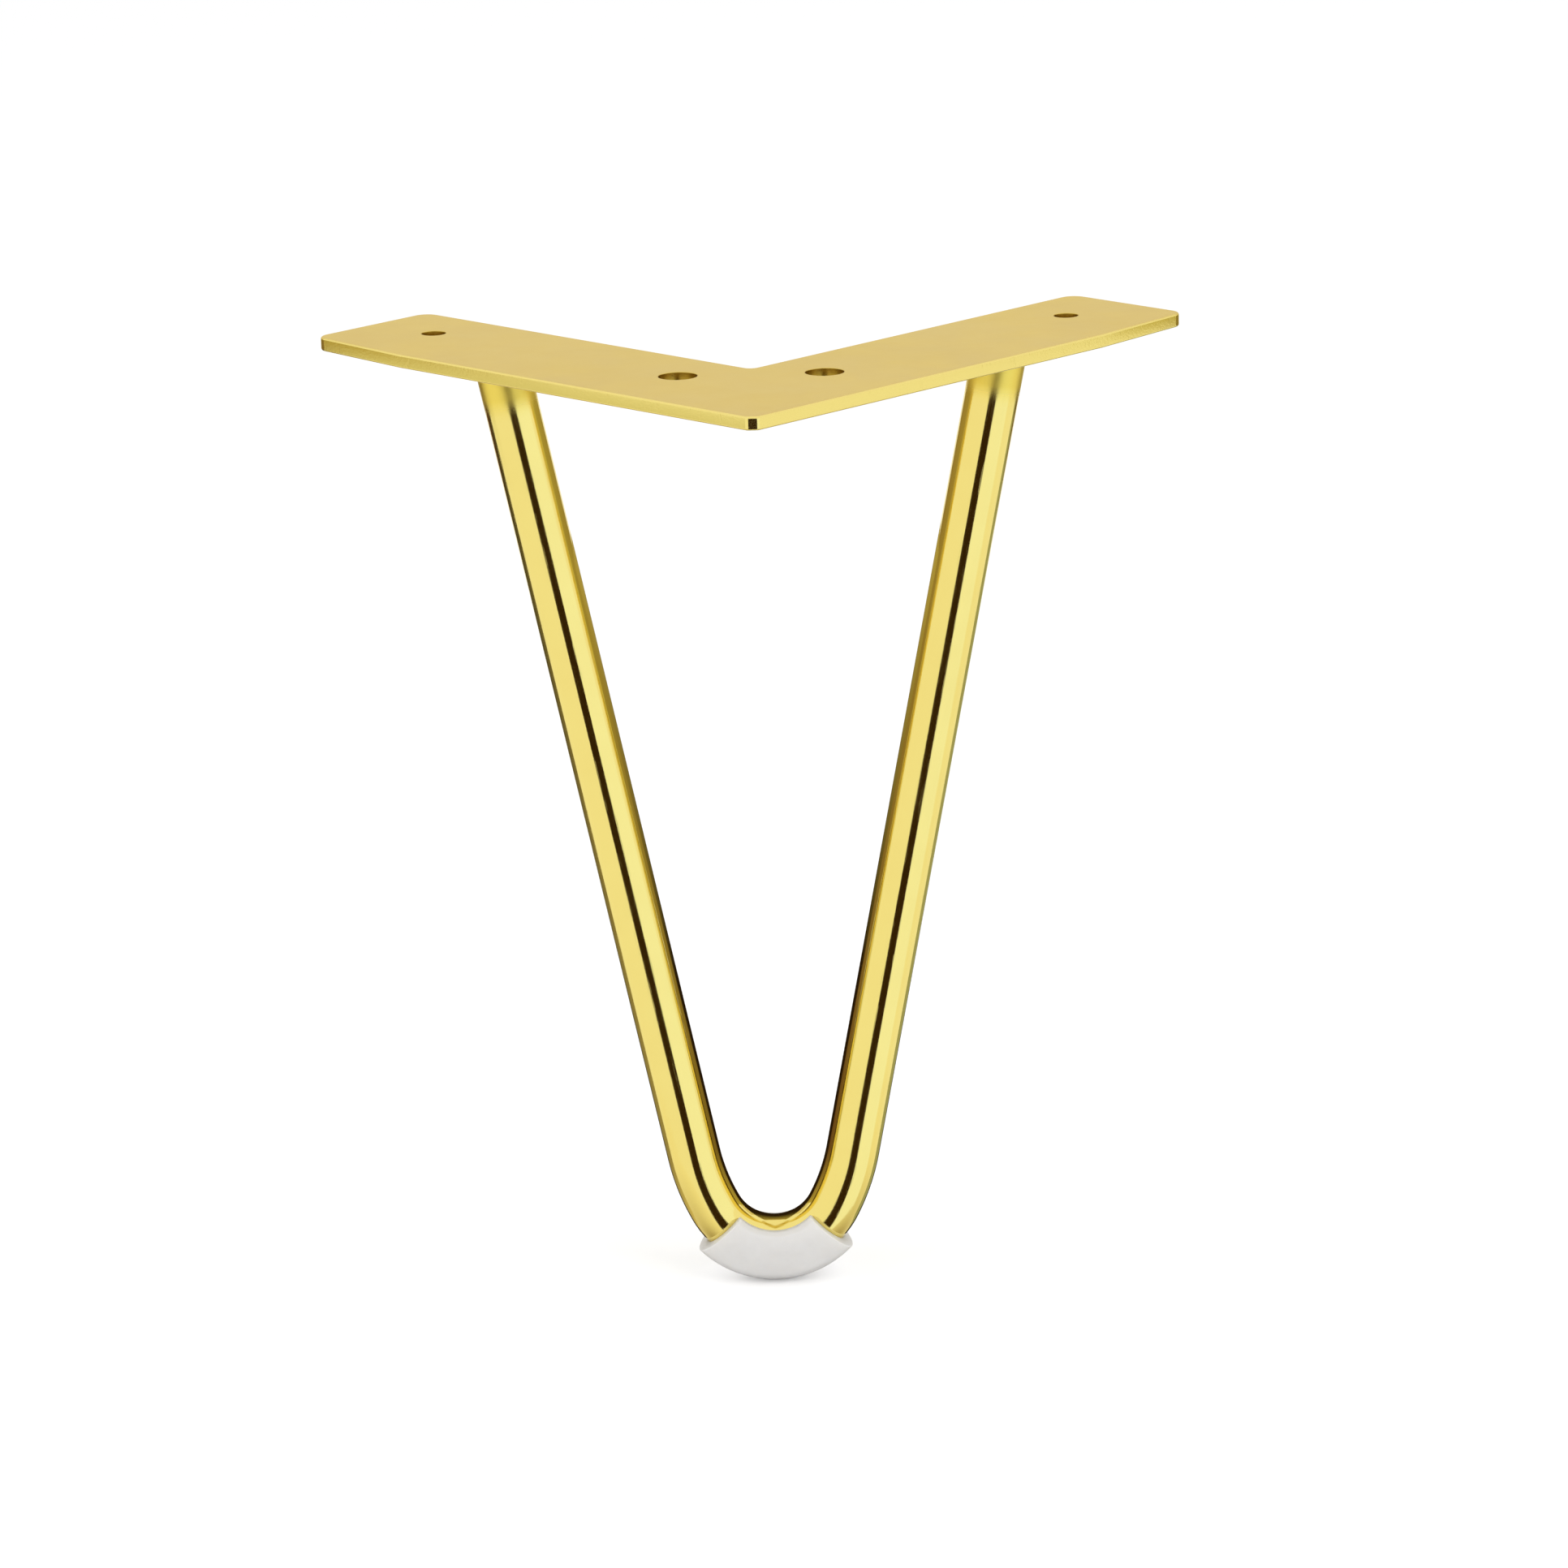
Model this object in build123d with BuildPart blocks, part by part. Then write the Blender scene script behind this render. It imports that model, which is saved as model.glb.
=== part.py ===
"""Hairpin furniture leg: one bent round bar welded under a V-shaped plate, with a clip-on plastic foot.

Frame: origin on the plate's top face where the centre lines of its two arms cross. +Z points up, out of the
face that is screwed to the furniture. The arms open towards +Y, and the bar's U lies in a plane across X.
"""

import os
from math import acos, atan2, cos, degrees, hypot, radians, sin, sqrt, tan

from build123d import *

# Driving dimensions, in millimetres and degrees

overall_height = 180.0  # plate's top face to the lowest point of the foot

# Mounting plate
plate_thickness = 2.5
arm_width = 30.0
arm_length = 115.5  # along the outer edge, from the V's outer corner to the tip
arm_spread = 90.0  # angle between the two arms
taper_length = 25.0  # last stretch of each arm, where the outer edge turns in
tip_width = 28.0
tip_corner_radius = 3.0
outer_mitre_radius = 2.5  # outer corner of the V
inner_mitre_radius = 1.5
plate_edge_break = 0.4  # chamfer all round, on both faces

# Screw holes, both on one line along each arm
hole_line = 17.5  # from the arm's outer edge
inner_hole_along = 36.0  # from the V's outer corner
outer_hole_along = 100.0
inner_hole_diameter = 7.0
outer_hole_diameter = 4.5
screw_holes = (
    (inner_hole_along, inner_hole_diameter),
    (outer_hole_along, outer_hole_diameter),
)

# Bent bar
bar_diameter = 10.0
bend_radius = 12.5  # to the bar's centre line, at the bottom of the U
shoulder_radius = 40.0  # to the bar's centre line, where the bend eases into the straight sides
shoulder_angle = 62.0  # round the bend from its lowest point to the start of each shoulder
weld_half_span = 45.5  # from the middle plane to the bar's axis at the plate

# Weld beads
weld_leg = 1.8
weld_toe = 0.12  # thickness left at the bead's thin edge
weld_steps = 3

# Foot sleeve
sleeve_wall = 2.3
sleeve_clearance = 0.1
sleeve_half_angle = 47.0  # each way from the bend's lowest point
sleeve_lip_reach = 3.5  # how far the side walls pass the bar's axis, towards the inside of the bend
sleeve_lip_chamfer = 0.7  # lead-in that lets the lips slip over the bar

# Values worked out from the driving dimensions

half_spread = radians(arm_spread / 2)
outer_corner_y = -arm_width / 2 / sin(half_spread)
inner_corner_y = -outer_corner_y
inner_corner_along = arm_width / tan(half_spread)

bar_radius = bar_diameter / 2
plate_underside = -plate_thickness
sleeve_bore_radius = bar_radius + sleeve_clearance
sleeve_outer_radius = sleeve_bore_radius + sleeve_wall
bar_plane_y = weld_half_span / tan(half_spread)
bend_centre_z = -overall_height + sleeve_outer_radius + bend_radius
bar_plane = Plane(origin=(0, bar_plane_y, 0), x_dir=(1, 0, 0), z_dir=(0, -1, 0))

# The bend's circle touches each shoulder's larger circle from inside, at the bend's end.
shoulder_start = radians(shoulder_angle)
bend_end_x = bend_radius * sin(shoulder_start)
bend_end_z = bend_centre_z - bend_radius * cos(shoulder_start)
shoulder_centre_x = bend_end_x - shoulder_radius * sin(shoulder_start)
shoulder_centre_z = bend_end_z + shoulder_radius * cos(shoulder_start)

# The straight sides touch the shoulders' circles; lean is their angle from the upright.
weld_reach = weld_half_span - shoulder_centre_x
weld_rise = plate_underside - shoulder_centre_z
lean = acos(shoulder_radius / hypot(weld_reach, weld_rise)) - atan2(weld_rise, weld_reach)
tangent_x = shoulder_centre_x + shoulder_radius * cos(lean)
tangent_z = shoulder_centre_z - shoulder_radius * sin(lean)
trim_allowance = bar_diameter
trim_x = weld_half_span + trim_allowance * tan(lean)
trim_z = plate_underside + trim_allowance


def on_arm(along: float, across: float) -> tuple[float, float]:
    """Plan position on the +X arm, along its outer edge from the V's corner and across it, inwards."""
    x = along * sin(half_spread) - across * cos(half_spread)
    y = along * cos(half_spread) + across * sin(half_spread)
    return x, outer_corner_y + y


def bar_axis_x(depth: float) -> float:
    """Distance from the middle plane to the bar's axis, at a depth below the plate's underside."""
    return weld_half_span - depth * tan(lean)


def bead_reach(depth: float) -> float:
    """How far the hollow bead stands out from the bar, at a depth below the plate's underside."""
    return weld_leg - sqrt(weld_leg**2 - (weld_leg - depth) ** 2) + weld_toe


os.makedirs("parts", exist_ok=True)

# Mounting plate: half the outline mirrored at the V's middle, rounded, then drilled
with BuildPart() as mounting_plate:
    with BuildSketch() as blank:
        with BuildLine():
            Polyline(
                on_arm(0, 0),
                on_arm(arm_length - taper_length, 0),
                on_arm(arm_length, arm_width - tip_width),
                on_arm(arm_length, arm_width),
                on_arm(inner_corner_along, arm_width),
            )
            mirror(about=Plane.YZ)
        make_face()
        fillet(blank.vertices().sort_by_distance((0, 0, 0))[-4:], tip_corner_radius)
        fillet(blank.vertices().sort_by(Axis.Y)[0], outer_mitre_radius)
        fillet(blank.vertices().sort_by_distance((0, inner_corner_y, 0))[0], inner_mitre_radius)
    extrude(amount=-plate_thickness)
    chamfer(mounting_plate.faces().filter_by(Axis.Z).edges(), plate_edge_break)
    for along, diameter in screw_holes:
        hole_x, hole_y = on_arm(along, hole_line)
        with Locations((hole_x, hole_y), (-hole_x, hole_y)):
            Hole(diameter / 2)
mounting_plate.part.label = "mounting_plate"

# Bent bar: swept past the plate's underside, then cut flush with it
with BuildPart() as hairpin_rod:
    with BuildLine(bar_plane) as bar_path:
        left_side = Line((-trim_x, trim_z), (-tangent_x, tangent_z))
        left_shoulder = TangentArc(left_side @ 1, (-bend_end_x, bend_end_z), tangent=left_side % 1)
        bend = TangentArc(left_shoulder @ 1, (bend_end_x, bend_end_z), tangent=left_shoulder % 1)
        right_shoulder = TangentArc(bend @ 1, (tangent_x, tangent_z), tangent=bend % 1)
        Line(right_shoulder @ 1, (trim_x, trim_z))
    with BuildSketch(Plane(origin=bar_path.line @ 0, z_dir=bar_path.line % 0)):
        Circle(bar_radius)
    sweep(path=bar_path.line)
    split(bisect_by=Plane.XY.offset(plate_underside), keep=Keep.BOTTOM)
hairpin_rod.part.label = "hairpin_rod"

# Weld beads: a hollow fillet round each cut end, in the corner between bar and plate
with BuildPart() as right_weld_bead:
    for step in range(weld_steps + 1):
        depth = weld_leg * step / weld_steps
        with BuildSketch(Plane.XY.offset(plate_underside - depth)):
            with Locations((bar_axis_x(depth), bar_plane_y)):
                Ellipse(bar_radius / cos(lean) + bead_reach(depth), bar_radius + bead_reach(depth))
    loft(ruled=True)
    add(hairpin_rod.part, mode=Mode.SUBTRACT)
right_weld_bead.part.label = "right_weld_bead"

with BuildPart() as left_weld_bead:
    mirror(right_weld_bead.part, about=Plane.YZ)
left_weld_bead.part.label = "left_weld_bead"

# Foot sleeve: a C section turned about the bend's centre
sleeve_start = radians(sleeve_half_angle)
sleeve_plane = Plane(
    origin=(0, bar_plane_y, bend_centre_z),
    x_dir=(-sin(sleeve_start), 0, -cos(sleeve_start)),
    z_dir=(cos(sleeve_start), 0, -sin(sleeve_start)),
)
with BuildPart() as floor_protector:
    with BuildSketch(sleeve_plane) as section:
        with Locations((bend_radius, 0)):
            Circle(sleeve_outer_radius)
            Circle(sleeve_bore_radius, mode=Mode.SUBTRACT)
        with Locations((bend_radius - sleeve_lip_reach, 0)):
            Rectangle(
                2 * sleeve_outer_radius,
                2 * sleeve_outer_radius,
                align=(Align.MAX, Align.CENTER),
                mode=Mode.SUBTRACT,
            )
        chamfer(section.vertices(), sleeve_lip_chamfer)
    revolve(
        axis=Axis((0, bar_plane_y, bend_centre_z), (0, -1, 0)),
        revolution_arc=2 * sleeve_half_angle,
    )
floor_protector.part.label = "floor_protector"

for piece in (mounting_plate, hairpin_rod, right_weld_bead, left_weld_bead, floor_protector):
    export_step(piece.part, f"parts/{piece.part.label}.step")

print(f"bar lean {degrees(lean):.2f} degrees, bend centre at z {bend_centre_z:.2f}")
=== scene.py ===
"""Dressed scene of a hairpin furniture leg: a gold-plated plate, bar and welds, with a milky plastic foot.

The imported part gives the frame. Each class builds one sub-assembly in that frame, in metres, and dresses it.
+Z is up, the plate's two arms open towards +Y, and the camera stands on the -Y side.
"""

import logging
from dataclasses import dataclass
from enum import Enum
from functools import partial, reduce
from math import acos, asin, atan2, cos, hypot, pi, radians, sin, sqrt, tan

import bmesh
import bpy
from mathutils import Matrix, Vector


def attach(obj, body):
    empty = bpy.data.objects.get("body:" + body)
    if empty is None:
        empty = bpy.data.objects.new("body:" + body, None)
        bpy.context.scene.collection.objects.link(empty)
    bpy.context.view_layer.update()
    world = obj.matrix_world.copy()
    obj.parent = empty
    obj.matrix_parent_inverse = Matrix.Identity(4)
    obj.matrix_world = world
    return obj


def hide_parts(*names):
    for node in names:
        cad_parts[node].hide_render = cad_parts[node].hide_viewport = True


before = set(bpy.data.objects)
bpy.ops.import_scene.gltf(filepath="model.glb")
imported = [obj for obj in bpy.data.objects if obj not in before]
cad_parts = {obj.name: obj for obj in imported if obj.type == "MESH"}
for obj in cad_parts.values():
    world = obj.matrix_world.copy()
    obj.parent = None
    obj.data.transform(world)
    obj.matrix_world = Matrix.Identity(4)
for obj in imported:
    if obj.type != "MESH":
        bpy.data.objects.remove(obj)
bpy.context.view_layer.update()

log = logging.getLogger("hairpin_leg")

MM = 0.001
MERGE_DISTANCE = 1e-6
IMAGE_WIDTH = 1932
SHARP_TURN = radians(60.0)
WHITE = (1.0, 1.0, 1.0, 1.0)

Colour = tuple[float, float, float, float]
Shade = tuple[float, float, float]
Point = tuple[float, float]
Socket = bpy.types.NodeSocket
Feed = Socket | float | int | str | bool | tuple | bpy.types.Material
Feeds = dict[str | int, Feed]


# Node wiring


@dataclass
class Wiring:
    """Adds nodes to one node tree and joins their sockets."""

    tree: bpy.types.NodeTree

    def add(self, kind: str, feeds: Feeds | None = None, **settings: object) -> bpy.types.Node:
        """Adds a node.

        Args:
            kind: The node's type name.
            feeds: Sockets or values for its inputs, by input name or index.
            **settings: The node's own properties.

        Returns:
            The new node.
        """
        node = self.tree.nodes.new(kind)
        for name, value in settings.items():
            setattr(node, name, value)
        for key, value in (feeds or {}).items():
            self.feed(node.inputs[key], value)
        return node

    def feed(self, socket: Socket, value: Feed) -> None:
        """Joins an input to another socket, or sets its value.

        Args:
            socket: The input.
            value: The other socket, or the value.
        """
        if isinstance(value, Socket):
            self.tree.links.new(value, socket)
        else:
            socket.default_value = value

    def math(self, operation: str, *values: Feed) -> Socket:
        """Adds a Math node over sockets or numbers and returns its result."""
        return self.add("ShaderNodeMath", dict(enumerate(values)), operation=operation).outputs[0]

    def total(self, *values: Feed) -> Socket:
        """Adds up sockets or numbers."""
        return reduce(partial(self.math, "ADD"), values)

    def product(self, *values: Feed) -> Socket:
        """Multiplies sockets or numbers."""
        return reduce(partial(self.math, "MULTIPLY"), values)

    def vector(self, x: Feed, y: Feed, z: Feed) -> Socket:
        """Makes a vector of three sockets or numbers."""
        return self.add("ShaderNodeCombineXYZ", {0: x, 1: y, 2: z}).outputs[0]

    def spread(self, value: Feed, low: Feed, high: Feed, to_low: Feed, to_high: Feed) -> Socket:
        """Maps a value from one range to another, held within the second one."""
        return self.add("ShaderNodeMapRange", {0: value, 1: low, 2: high, 3: to_low, 4: to_high}).outputs[0]

    def blend(self, share: Feed, first: Feed, second: Feed) -> Socket:
        """Mixes two colours, which a Mix node takes at inputs 6 and 7 and gives at output 2."""
        feeds = {0: share, 6: first, 7: second}
        return self.add("ShaderNodeMix", feeds, data_type="RGBA").outputs[2]


class GeometryTree(Wiring):
    """A Geometry Nodes tree with named inputs, run once into a plain mesh."""

    SOCKET_KINDS = {
        float: "NodeSocketFloat",
        int: "NodeSocketInt",
        bpy.types.Material: "NodeSocketMaterial",
    }

    def __init__(self, name: str, values: dict[str, float | int | bpy.types.Material]) -> None:
        """Starts the tree.

        Args:
            name: The tree's name.
            values: Each named input with the value that the modifier gives it. "Finish" is the material.
        """
        super().__init__(bpy.data.node_groups.new(name, "GeometryNodeTree"))
        self.tree.is_modifier = True
        self.values = values
        for label, value in values.items():
            self.tree.interface.new_socket(label, in_out="INPUT", socket_type=self.SOCKET_KINDS[type(value)])
        self.tree.interface.new_socket("Geometry", in_out="OUTPUT", socket_type="NodeSocketGeometry")
        self.inlets = self.tree.nodes.new("NodeGroupInput").outputs

    def pick(self, test: Socket, if_true: Feed, if_false: Feed) -> Socket:
        """Chooses between two numbers by a test."""
        feeds = {"Switch": test, "True": if_true, "False": if_false}
        return self.add("GeometryNodeSwitch", feeds, input_type="FLOAT").outputs[0]

    def store(self, geometry: Socket, name: str, kind: str, value: Feed) -> Socket:
        """Keeps a value on every point under an attribute's name."""
        feeds = {"Geometry": geometry, "Name": name, "Value": value}
        return self.add("GeometryNodeStoreNamedAttribute", feeds, data_type=kind, domain="POINT").outputs[0]

    def recall(self, name: str, kind: str) -> Socket:
        """Reads an attribute that was stored earlier in the tree."""
        return self.add("GeometryNodeInputNamedAttribute", {"Name": name}, data_type=kind).outputs[0]

    def close(self, geometry: Socket) -> None:
        """Ends the tree: smooth faces, real geometry, the finish, and the output.

        Args:
            geometry: The shape so far.
        """
        smooth = self.add("GeometryNodeSetShadeSmooth", {"Geometry": geometry})
        realized = self.add("GeometryNodeRealizeInstances", {"Geometry": smooth.outputs[0]})
        feeds = {"Geometry": realized.outputs[0], "Material": self.inlets["Finish"]}
        dressed = self.add("GeometryNodeSetMaterial", feeds)
        self.add("NodeGroupOutput", {"Geometry": dressed.outputs[0]})

    def run(self, name: str) -> bpy.types.Object:
        """Runs the tree on a new object.

        Args:
            name: The piece's name.

        Returns:
            The object, holding the result as a plain mesh.
        """
        piece = link_object(name, bpy.data.meshes.new(name))
        modifier = piece.modifiers.new(self.tree.name, "NODES")
        modifier.node_group = self.tree
        for socket in self.tree.interface.items_tree:
            if socket.in_out == "INPUT":
                modifier[socket.identifier] = self.values[socket.name]
        keep_evaluated(piece)
        return piece


def blank_material(name: str) -> tuple[bpy.types.Material, Wiring]:
    """Makes a material that has no nodes yet.

    Args:
        name: The material's name.

    Returns:
        The material and its wiring.
    """
    material = bpy.data.materials.new(name)
    material.use_nodes = True
    material.node_tree.nodes.clear()
    return material, Wiring(material.node_tree)


# Mesh helpers


def link_object(name: str, data: bpy.types.ID) -> bpy.types.Object:
    """Makes an object and puts it in the scene.

    Args:
        name: The object's name.
        data: Its mesh, lamp or camera.

    Returns:
        The new object.
    """
    thing = bpy.data.objects.new(name, data)
    bpy.context.scene.collection.objects.link(thing)
    return thing


def keep_evaluated(piece: bpy.types.Object) -> None:
    """Replaces a piece's mesh by its evaluated one and takes its modifiers off.

    Args:
        piece: The object.
    """
    graph = bpy.context.evaluated_depsgraph_get()
    mesh = bpy.data.meshes.new_from_object(piece.evaluated_get(graph))
    piece.modifiers.clear()
    piece.data = mesh


def mesh_object(name: str, shell: bmesh.types.BMesh) -> bpy.types.Object:
    """Closes a bmesh's seams, turns its faces outwards and makes it an object.

    Args:
        name: The piece's name.
        shell: The bmesh, which is freed.

    Returns:
        The new object.
    """
    bmesh.ops.remove_doubles(shell, verts=shell.verts, dist=MERGE_DISTANCE)
    bmesh.ops.recalc_face_normals(shell, faces=shell.faces)
    mesh = bpy.data.meshes.new(name)
    shell.to_mesh(mesh)
    shell.free()
    return link_object(name, mesh)


def shade_by_area(piece: bpy.types.Object, sharp_angle: float) -> None:
    """Smooths a piece so that its flat faces stay flat and its small rounds blend into them.

    Args:
        piece: The object.
        sharp_angle: Edges that turn by more than this stay sharp, in radians.
    """
    piece.data.polygons.foreach_set("use_smooth", [True] * len(piece.data.polygons))
    piece.data.set_sharp_from_angle(angle=sharp_angle)
    weighting = piece.modifiers.new("flat_faces_lead", "WEIGHTED_NORMAL")
    weighting.keep_sharp = True
    keep_evaluated(piece)


def join_rings(shell: bmesh.types.BMesh, first: list, second: list) -> None:
    """Joins two closed rings of equal count with quads."""
    for i in range(len(first)):
        shell.faces.new((first[i - 1], first[i], second[i], second[i - 1]))


# Effects that several finishes share


class SurfaceEffects:
    """Shader node groups, each built once and placed in the finishes with their own values."""

    def __init__(self) -> None:
        """Builds the four groups."""
        self.tone_clouds = self._tone_clouds()
        self.polish_haze = self._polish_haze()
        self.fine_scratches = self._fine_scratches()
        self.surface_grain = self._surface_grain()

    @staticmethod
    def _start(
        name: str, inputs: dict[str, str], outputs: dict[str, str]
    ) -> tuple[Wiring, bpy.types.NodeOutputs, bpy.types.Node]:
        """Starts a group.

        Args:
            name: The group's name.
            inputs: Socket type of each named input.
            outputs: Socket type of each named output.

        Returns:
            The wiring, the group's inputs by name, and its output node.
        """
        wiring = Wiring(bpy.data.node_groups.new(name, "ShaderNodeTree"))
        for label, kind in inputs.items():
            wiring.tree.interface.new_socket(label, in_out="INPUT", socket_type=kind)
        for label, kind in outputs.items():
            wiring.tree.interface.new_socket(label, in_out="OUTPUT", socket_type=kind)
        return wiring, wiring.add("NodeGroupInput").outputs, wiring.add("NodeGroupOutput")

    def _tone_clouds(self) -> bpy.types.NodeTree:
        """Soft clouds between two tones, coarse ones broken up by finer ones.

        Returns:
            The group, which puts out a colour.
        """
        fine_ratio = 5.3
        fine_share = 0.4
        window = (0.36, 0.64)
        inputs = {
            "Vector": "NodeSocketVector",
            "Main Tone": "NodeSocketColor",
            "Second Tone": "NodeSocketColor",
            "Scale": "NodeSocketFloat",
            "Amount": "NodeSocketFloat",
        }
        wiring, given, out = self._start("tone_clouds", inputs, {"Tone": "NodeSocketColor"})
        where = given["Vector"]
        coarse = wiring.add("ShaderNodeTexNoise", {"Vector": where, "Scale": given["Scale"], "Detail": 3.0})
        fine_scale = wiring.math("MULTIPLY", given["Scale"], fine_ratio)
        fine = wiring.add("ShaderNodeTexNoise", {"Vector": where, "Scale": fine_scale, "Detail": 2.0})
        coarse_part = wiring.product(coarse.outputs["Fac"], 1 - fine_share)
        clouds = wiring.math("MULTIPLY_ADD", fine.outputs["Fac"], fine_share, coarse_part)
        share = wiring.spread(clouds, *window, 0.0, given["Amount"])
        wiring.feed(out.inputs["Tone"], wiring.blend(share, given["Main Tone"], given["Second Tone"]))
        return wiring.tree

    def _polish_haze(self) -> bpy.types.NodeTree:
        """Roughness that drifts between a clear and a hazy value.

        Returns:
            The group, which puts out a roughness.
        """
        window = (0.34, 0.66)
        inputs = {
            "Vector": "NodeSocketVector",
            "Scale": "NodeSocketFloat",
            "Clear": "NodeSocketFloat",
            "Hazy": "NodeSocketFloat",
        }
        wiring, given, out = self._start("polish_haze", inputs, {"Roughness": "NodeSocketFloat"})
        feeds = {"Vector": given["Vector"], "Scale": given["Scale"], "Detail": 5.0, "Roughness": 0.6}
        cloud = wiring.add("ShaderNodeTexNoise", feeds)
        rough = wiring.spread(cloud.outputs["Fac"], *window, given["Clear"], given["Hazy"])
        wiring.feed(out.inputs["Roughness"], rough)
        return wiring.tree

    def _fine_scratches(self) -> bpy.types.NodeTree:
        """Sparse hair-fine lines that run along the vector's Z.

        Returns:
            The group, which puts out a mask.
        """
        softness = 0.06
        inputs = {
            "Vector": "NodeSocketVector",
            "Scale": "NodeSocketFloat",
            "Stretch": "NodeSocketFloat",
            "Rarity": "NodeSocketFloat",
        }
        wiring, given, out = self._start("fine_scratches", inputs, {"Mask": "NodeSocketFloat"})
        squeeze = wiring.vector(1.0, 1.0, given["Stretch"])
        feeds = {0: given["Vector"], 1: squeeze}
        drawn_out = wiring.add("ShaderNodeVectorMath", feeds, operation="MULTIPLY").outputs[0]
        feeds = {"Vector": drawn_out, "Scale": given["Scale"], "Detail": 2.0, "Roughness": 0.7}
        lines = wiring.add("ShaderNodeTexNoise", feeds)
        full = wiring.total(given["Rarity"], softness)
        mask = wiring.spread(lines.outputs["Fac"], given["Rarity"], full, 0.0, 1.0)
        wiring.feed(out.inputs["Mask"], mask)
        return wiring.tree

    def _surface_grain(self) -> bpy.types.NodeTree:
        """Height of a fine grain over a slow waviness.

        Returns:
            The group, which puts out a height.
        """
        inputs = {
            "Vector": "NodeSocketVector",
            "Grain Scale": "NodeSocketFloat",
            "Wave Scale": "NodeSocketFloat",
            "Wave Share": "NodeSocketFloat",
        }
        wiring, given, out = self._start("surface_grain", inputs, {"Height": "NodeSocketFloat"})
        grain = wiring.add("ShaderNodeTexNoise", {"Vector": given["Vector"], "Scale": given["Grain Scale"]})
        wave = wiring.add("ShaderNodeTexNoise", {"Vector": given["Vector"], "Scale": given["Wave Scale"]})
        height = wiring.math("MULTIPLY_ADD", wave.outputs["Fac"], given["Wave Share"], grain.outputs["Fac"])
        wiring.feed(out.inputs["Height"], height)
        return wiring.tree


# Finishes


class Lay(Enum):
    """What a finish's lines and clouds follow."""

    OBJECT = "object"
    ALONG_BAR = "drawn_lay"


@dataclass(frozen=True)
class SurfaceLook:
    """The values that a finish gives to the shared effects."""

    main_tone: Colour
    second_tone: Colour
    cloud_scale: float
    cloud_amount: float
    clear: float
    hazy: float
    haze_scale: float
    scratch_scale: float
    scratch_stretch: float
    scratch_rarity: float
    scratch_roughness: float
    grain_scale: float
    wave_scale: float
    wave_share: float
    bump_distance: float
    scratch_depth: float = 0.5


@dataclass(frozen=True)
class Patch:
    """A stretch of a piece, marked by one of its attributes, where the finish changes. The plate's hole patch
    carries painted shade in its tone.
    """

    attribute: str
    tone: Colour
    roughness: float


@dataclass(frozen=True)
class Finish:
    """A material made of the shared effects and one Principled shader."""

    name: str
    look: SurfaceLook
    shader: dict[str, float | tuple[float, float, float]]
    lay: Lay = Lay.OBJECT
    patches: tuple[Patch, ...] = ()

    def make(self, effects: SurfaceEffects) -> bpy.types.Material:
        """Builds the material.

        Args:
            effects: The shared node groups.

        Returns:
            The new material.
        """
        material, wiring = blank_material(self.name)
        look = self.look
        where = self._coordinates(wiring)

        def effect(group: bpy.types.NodeTree, feeds: dict[str, Feed]) -> Socket:
            """Places a shared group.

            Args:
                group: The group.
                feeds: The values for its inputs, by name.

            Returns:
                The group's one output.
            """
            node = wiring.add("ShaderNodeGroup", node_tree=group)
            for label, value in {"Vector": where, **feeds}.items():
                wiring.feed(node.inputs[label], value)
            return node.outputs[0]

        tone = effect(
            effects.tone_clouds,
            {
                "Main Tone": look.main_tone,
                "Second Tone": look.second_tone,
                "Scale": look.cloud_scale,
                "Amount": look.cloud_amount,
            },
        )
        haze = effect(
            effects.polish_haze,
            {"Scale": look.haze_scale, "Clear": look.clear, "Hazy": look.hazy},
        )
        lines = effect(
            effects.fine_scratches,
            {
                "Scale": look.scratch_scale,
                "Stretch": look.scratch_stretch,
                "Rarity": look.scratch_rarity,
            },
        )
        grain = effect(
            effects.surface_grain,
            {
                "Grain Scale": look.grain_scale,
                "Wave Scale": look.wave_scale,
                "Wave Share": look.wave_share,
            },
        )
        rough = wiring.math("MULTIPLY_ADD", lines, look.scratch_roughness, haze)
        # Patches change tone and roughness; the plate's hole patch paints shade into the tone.
        for patch in self.patches:
            share = wiring.add("ShaderNodeAttribute", attribute_name=patch.attribute).outputs["Fac"]
            rough = wiring.spread(share, 0.0, 1.0, rough, patch.roughness)
            tone = wiring.blend(share, tone, patch.tone)
        height = wiring.math("SUBTRACT", grain, wiring.product(lines, look.scratch_depth))
        bump = wiring.add("ShaderNodeBump", {"Height": height, "Distance": look.bump_distance})
        shader = wiring.add("ShaderNodeBsdfPrincipled", self.shader)
        wiring.feed(shader.inputs["Base Color"], tone)
        wiring.feed(shader.inputs["Roughness"], rough)
        wiring.feed(shader.inputs["Normal"], bump.outputs[0])
        wiring.add("ShaderNodeOutputMaterial", {"Surface": shader.outputs[0]})
        return material

    def _coordinates(self, wiring: Wiring) -> Socket:
        """The vector that the finish's patterns follow.

        Args:
            wiring: The material's wiring.

        Returns:
            The vector's socket.
        """
        if self.lay is Lay.ALONG_BAR:
            return wiring.add("ShaderNodeAttribute", attribute_name=self.lay.value).outputs["Vector"]
        return wiring.add("ShaderNodeTexCoord").outputs["Object"]


GOLD_SHADER = {"Metallic": 1.0}

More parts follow.
